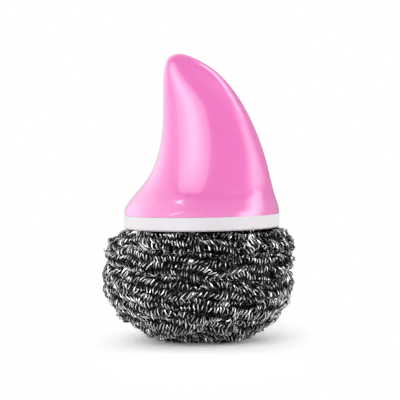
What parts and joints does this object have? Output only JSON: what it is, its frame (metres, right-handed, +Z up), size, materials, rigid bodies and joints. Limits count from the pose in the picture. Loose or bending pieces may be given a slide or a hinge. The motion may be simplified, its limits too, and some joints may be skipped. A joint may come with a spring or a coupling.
{
  "type": "pot scrubber",
  "caption": "Pot scrubber: a hollow fin handle screwed to a shallow round collar over a flattened ball of knitted steel mesh.",
  "frame": {"origin": "on the table under the middle of the ball", "axes": "+Z up along the collar's turning axis, +X towards the fin's leading edge, -Y towards the side that the picture shows"},
  "size_m": [0.0865, 0.0854, 0.1284],
  "materials": {
    "pink_plastic": "high gloss pink moulding",
    "white_plastic": "smooth white moulding",
    "steel_mesh": null,
    "tie_wire": "drawn wire",
    "screw_steel": "plated screws"
  },
  "bodies": {
    "scourer": {"scourer_roll": "steel_mesh", "scourer_core": "steel_mesh", "neck_tie": "tie_wire", "anchor_claw": "white_plastic", "anchor_screw": "screw_steel", "anchor_washer": "screw_steel", "ball_plate": "white_plastic"},
    "collar": {"screw_collar": "white_plastic"},
    "handle": {"fin_shell": "pink_plastic", "thread_insert": "white_plastic", "insert_screws": "screw_steel"}
  },
  "joints": [
    {"name": "collar_turn", "type": "hinge", "parent": "scourer", "child": "collar", "pos_m": [0, 0, 0.0525], "axis": [0, 0, -1], "range_deg": [0, 540]},
    {"name": "handle_lift", "type": "slide", "parent": "scourer", "child": "handle", "axis": [0, 0, 1], "range_m": [0, 0.009]}
  ],
  "couplings": [
    {"joint": "handle_lift", "follows": "collar_turn", "m_per_rad": 0.00095493}
  ]
}
